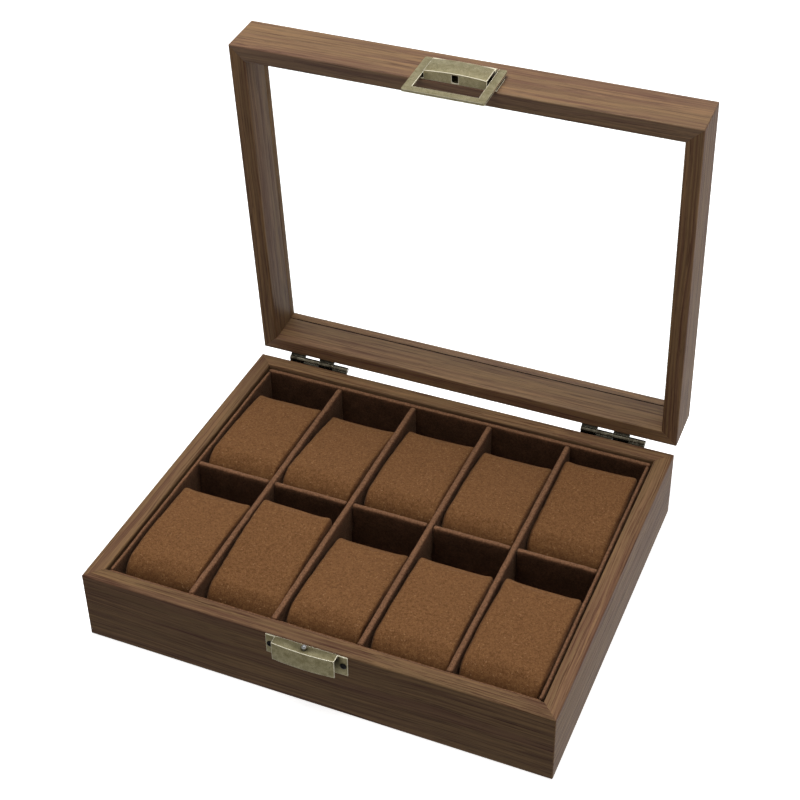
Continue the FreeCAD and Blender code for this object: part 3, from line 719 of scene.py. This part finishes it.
def pillow_blank(name, width, outline, seed):
    """A closed pillow of this side view, slightly lumpy, in metres times SCALE_UP."""
    bm = bmesh.new()
    rings = [[bm.verts.new(point * MM * SCALE_UP) for point in loop]
             for loop in pillow_slices(width, outline)]
    count = len(outline)
    for near, far in zip(rings, rings[1:]):
        for i in range(count):
            j = (i + 1) % count
            bm.faces.new((near[i], near[j], far[j], far[i]))
    bm.faces.new(list(reversed(rings[0])))
    bm.faces.new(rings[-1])
    bmesh.ops.recalc_face_normals(bm, faces=bm.faces)
    piece = link(mesh_of(bm, name), name)
    remesh_evenly(piece, PILLOW_VOXEL * MM * SCALE_UP)
    settle(piece)
    own_lumps = Vector((seed * 7.3, 0, 0))
    for vertex in piece.data.vertices:
        lump = noise.noise_vector(vertex.co * LUMP_FREQUENCY + own_lumps)
        vertex.co += lump * LUMPS * MM * SCALE_UP
    return piece


def hold_cover(piece, half_width):
    """The name of a vertex group that holds the cover below and along its seams."""
    seam_x = (half_width - SEAM_IN) * SCALE_UP * MM
    held = piece.vertex_groups.new(name="held")
    for vertex in piece.data.vertices:
        off = abs(abs(vertex.co.x) - seam_x) / (SEAM_REACH * MM * SCALE_UP)
        grip = SEAM_GRIP * (1 - min(off, 1))
        under = vertex.co.z < HELD_BELOW * MM * SCALE_UP
        held.add([vertex.index], 1 if under else grip, "REPLACE")
    return held.name


def points_of(mesh):
    return np.array([vertex.co for vertex in mesh.vertices])


def inflate(piece, half_width):
    """Let air pressure move the cover, as cloth, by SWELL at most."""
    rest = points_of(piece.data)
    cloth = piece.modifiers.new("cloth", "CLOTH")
    for name, value in CLOTH.items():
        setattr(cloth.settings, name, value)
    cloth.settings.vertex_group_mass = hold_cover(piece, half_width)
    cloth.settings.effector_weights.gravity = 0
    cloth.collision_settings.use_collision = False
    cloth.point_cache.frame_end = CLOTH_FRAMES
    for number in range(1, CLOTH_FRAMES + 1):
        scene.frame_set(number)
    graph = bpy.context.evaluated_depsgraph_get()
    swollen = bpy.data.meshes.new_from_object(piece.evaluated_get(graph))
    moved = points_of(swollen) - rest
    size = np.linalg.norm(moved, axis=1, keepdims=True)
    kept = rest + moved * np.minimum(1, SWELL * MM * SCALE_UP / np.maximum(size, 1e-9))
    piece.modifiers.clear()
    piece.data.vertices.foreach_set("co", kept.ravel())
    scene.frame_set(1)


def fit_width(piece, width):
    """Stretch a piece across the box to this width."""
    reach = [vertex.co.x for vertex in piece.data.vertices]
    piece.data.transform(Matrix.Diagonal((width / (max(reach) - min(reach)), 1, 1, 1)))


def finish_pillow(piece, half_width):
    """Scale back, refine, and press the seams in."""
    piece.data.transform(Matrix.Scale(1 / SCALE_UP, 4))
    finer = piece.modifiers.new("finer", "SUBSURF")
    finer.levels = finer.render_levels = 1
    settle(piece)
    mesh = piece.data
    seam = mesh.attributes.new("seam", "FLOAT", "POINT")
    marks = []
    normals = [vertex.normal.copy() for vertex in mesh.vertices]
    for vertex, normal in zip(mesh.vertices, normals):
        off = (abs(vertex.co.x) / MM - half_width + SEAM_IN) / SEAM_WIDE
        mark = math.exp(-off * off)
        marks.append(mark)
        vertex.co -= normal * mark * SEAM_DEEP * MM
    seam.data.foreach_set("value", marks)
    shade_smooth(mesh)


def lay_in_cell(piece, low, high, roll, turn):
    """Lean and turn a pillow, and stand it in the middle of the box from low to high."""
    lean = Euler((0, math.radians(roll), math.radians(turn))).to_matrix()
    piece.data.transform(lean.to_4x4())
    bottom = min(vertex.co.z for vertex in piece.data.vertices)
    middle = (low + high) / 2
    piece.data.transform(Matrix.Translation((middle.x, middle.y, low.z - bottom)))


def make_cushions():
    # the paler top colour given here is painted top light for faces that look up
    suede = pile("brown_suede", "74502f", "5c3b21", "3c200e", painted_top_light="88603d", cushion=True)
    liner_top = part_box("divider_across")[1].z
    for number, pose in CUSHIONS.items():
        node = f"cushion_{number:02d}"
        low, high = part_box(node)
        width = (high.x - low.x) / MM + 2 * PLUMP
        length = (high.y - low.y) / MM - SWELL
        top = (liner_top - low.z) / MM - SWELL
        outline = side_outline(length, top + pose["rear"], top + pose["front"])
        piece = pillow_blank(node + "_pillow", width, outline, number)
        inflate(piece, width / 2)
        fit_width(piece, width * MM * SCALE_UP)
        finish_pillow(piece, width / 2)
        lay_in_cell(piece, low, high, pose["roll"], pose["turn"])
        piece.data.materials.append(suede)
        stand_for(piece, "suede", node)


# ---------------------------------------------------------------- clasp and hinges

SHEET_EASE = 0.26 * MM
SHEET_EDGE = 0.9 * MM  # faces narrower than this are the cut edges of the clasp's sheet
SHEET_SHORTEST = 0.6 * MM
LEAF_EASE = 0.1 * MM
PIN_EASE = 0.12 * MM
STUD_EASE = 0.03 * MM


def make_clasp():
    brass = antique_metal("antique_brass", "c9bf98", "a99e78", "453d26",
                          rough=0.36, metal=0.7, patina_and_shade=5 * MM)
    # the catch plate's brass: the clasp plate's finish made darker, painted shade
    shaded_brass = antique_metal("shaded_brass", "beb48e", "9b916b", "352f1c",
                              rough=0.30, patina_and_shade=5 * MM)
    # near white on the cut and eased edges: wear and painted highlights together
    wear_and_highlight_brass = antique_metal("wear_and_highlight_brass", "fbf4dc", "f0e8cc", "c8be98", rough=0.4, metal=0.3)
    for node, skin in (("clasp_plate", brass), ("catch_plate", shaded_brass)):
        eased(node, "antique_brass", [skin, wear_and_highlight_brass], SHEET_EASE,
              bright_below=SHEET_EDGE, shortest=SHEET_SHORTEST)
    eased("clasp_loop", "antique_brass", [brass, wear_and_highlight_brass], SHEET_EASE,
          shortest=SHEET_SHORTEST)


def make_hinges():
    bronze = antique_metal("dark_bronze", "a9a18a", "5e5746", "14110c",
                           rough=0.25, metal=0.8, patina_and_shade=2.5 * MM)
    # near white on the eased edges: wear and painted highlights together
    wear_and_highlight_bronze = antique_metal("wear_and_highlight_bronze", "f4eeda", "d8cfb4", "8a8268", rough=0.3, metal=0.3)
    for side in ("left", "right"):
        for part in ("base", "lid"):
            eased(f"hinge_leaf_{part}_{side}", "bronze", [bronze, wear_and_highlight_bronze], LEAF_EASE)


def make_steel_parts():
    steel = plain_metal("bright_steel", "e6e6e4", rough=0.14)
    for side in ("left", "right"):
        eased(f"hinge_pin_{side}", "steel", [steel], PIN_EASE, segments=3)
    eased("catch_stud", "steel", [steel], STUD_EASE)


# ---------------------------------------------------------------- screws

# where each group's screws sit across the box, and where their heads rest while the lid
# is closed, in mm
SCREWS = {
    "clasp_screws_base": dict(across=(-19.4, 19.4), y=-101.7, z=34.5),
    "clasp_screws_lid": dict(across=(-19.4, 19.4), y=-101.7, z=47.7),
    "hinge_screws_base": dict(across=(-100.4, -78.4, 78.4, 100.4), y=101.8, z=32.3),
    "hinge_screws_lid": dict(across=(-100.4, -78.4, 78.4, 100.4), y=101.8, z=49.9),
}
HEAD_RADIUS = 1.7 * MM
HEAD_RISE = 0.8 * MM
HEAD_RIM = 0.22  # share of the rise that is straight, below the dome
DOME_STEPS = 6
SHANK_RADIUS = 0.9 * MM
SHANK_LENGTH = 6.4 * MM
SHANK_STRAIGHT = 0.76  # share of the length before the point
TURN_STEPS = 40
RECESS_LENGTH = 1.7 * MM  # of each slot of the cross
RECESS_WIDTH = 0.26 * RECESS_LENGTH
RECESS_DEPTH = 0.55 * HEAD_RISE


def screw_profile():
    """Radius and height from the screw's point, round its head and back to the axis."""
    profile = [(0, -SHANK_LENGTH), (SHANK_RADIUS, -SHANK_LENGTH * SHANK_STRAIGHT),
               (SHANK_RADIUS, 0), (HEAD_RADIUS, 0), (HEAD_RADIUS, HEAD_RISE * HEAD_RIM)]
    for step in range(1, DOME_STEPS):
        angle = math.radians(90 * step / DOME_STEPS)
        height = HEAD_RIM + (1 - HEAD_RIM) * math.sin(angle)
        profile.append((HEAD_RADIUS * math.cos(angle), HEAD_RISE * height))
    return profile + [(0, HEAD_RISE)]


def turned(profile, name):
    """A mesh turned about Z from a profile whose ends lie on the axis."""
    bm = bmesh.new()
    rings = []
    for radius, z in profile:
        steps = TURN_STEPS if radius else 1
        angles = [2 * math.pi * step / TURN_STEPS for step in range(steps)]
        rings.append([bm.verts.new((radius * math.cos(angle), radius * math.sin(angle), z))
                      for angle in angles])
    for a, b in zip(rings, rings[1:]):
        for i in range(TURN_STEPS):
            j = (i + 1) % TURN_STEPS
            if len(a) == 1:
                bm.faces.new((a[0], b[j], b[i]))
            elif len(b) == 1:
                bm.faces.new((a[i], a[j], b[0]))
            else:
                bm.faces.new((a[i], a[j], b[j], b[i]))
    bmesh.ops.recalc_face_normals(bm, faces=bm.faces)
    return mesh_of(bm, name)


def screw_mesh():
    """A screw with a domed head and a cross recess, standing on z = 0."""
    body = link(turned(screw_profile(), "screw"), "screw")
    cross = bmesh.new()
    for x, y in ((RECESS_LENGTH, RECESS_WIDTH), (RECESS_WIDTH, RECESS_LENGTH)):
        place = Matrix.Translation((0, 0, HEAD_RISE))
        size = Matrix.Diagonal((x, y, 2 * RECESS_DEPTH, 1))
        bmesh.ops.create_cube(cross, size=1, matrix=place @ size)
    cutter = link(mesh_of(cross, "recess_cutter"), "recess_cutter")
    cut = body.modifiers.new("recess", "BOOLEAN")
    cut.object = cutter
    cut.operation = "DIFFERENCE"
    cut.solver = "EXACT"
    cut.use_self = True
    settle(body)
    mesh = body.data
    bpy.data.objects.remove(cutter)
    bpy.data.objects.remove(body)
    return mesh


def make_screws():
    black = plain_metal("black_screws", "1c1b1a", rough=0.38, metal=0.6)
    bronze = antique_metal("screw_bronze", "6a6250", "453f33", "1a1712", rough=0.3)
    pattern = screw_mesh()
    for node, group in SCREWS.items():
        outward = Vector((0, math.copysign(1, group["y"]), 0))
        facing = outward.to_track_quat("Z", "Y").to_matrix().to_4x4()
        carried = open_lid() if node.endswith("lid") else Matrix()
        bm = bmesh.new()
        for number, x in enumerate(group["across"]):
            place = Matrix.Translation(Vector((x, group["y"], group["z"])) * MM)
            spin = Matrix.Rotation(math.radians(23 + 31 * number), 4, "Z")
            one = pattern.copy()
            one.transform(carried @ place @ facing @ spin)
            bm.from_mesh(one)
            bpy.data.meshes.remove(one)
        mesh = mesh_of(bm, node + "_mesh")
        clasp = node.startswith("clasp")
        mesh.materials.clear()
        mesh.materials.append(black if clasp else bronze)
        shade_by_angle(mesh, degrees=40)
        stand_for(link(mesh, node + "_piece"), "black_screw" if clasp else "bronze", node)


# ---------------------------------------------------------------- build

make_camera()
make_stage()
make_sky()
make_lamps()
make_rails()
make_liner()
make_cushions()
make_clasp()
make_hinges()
make_steel_parts()
make_screws()
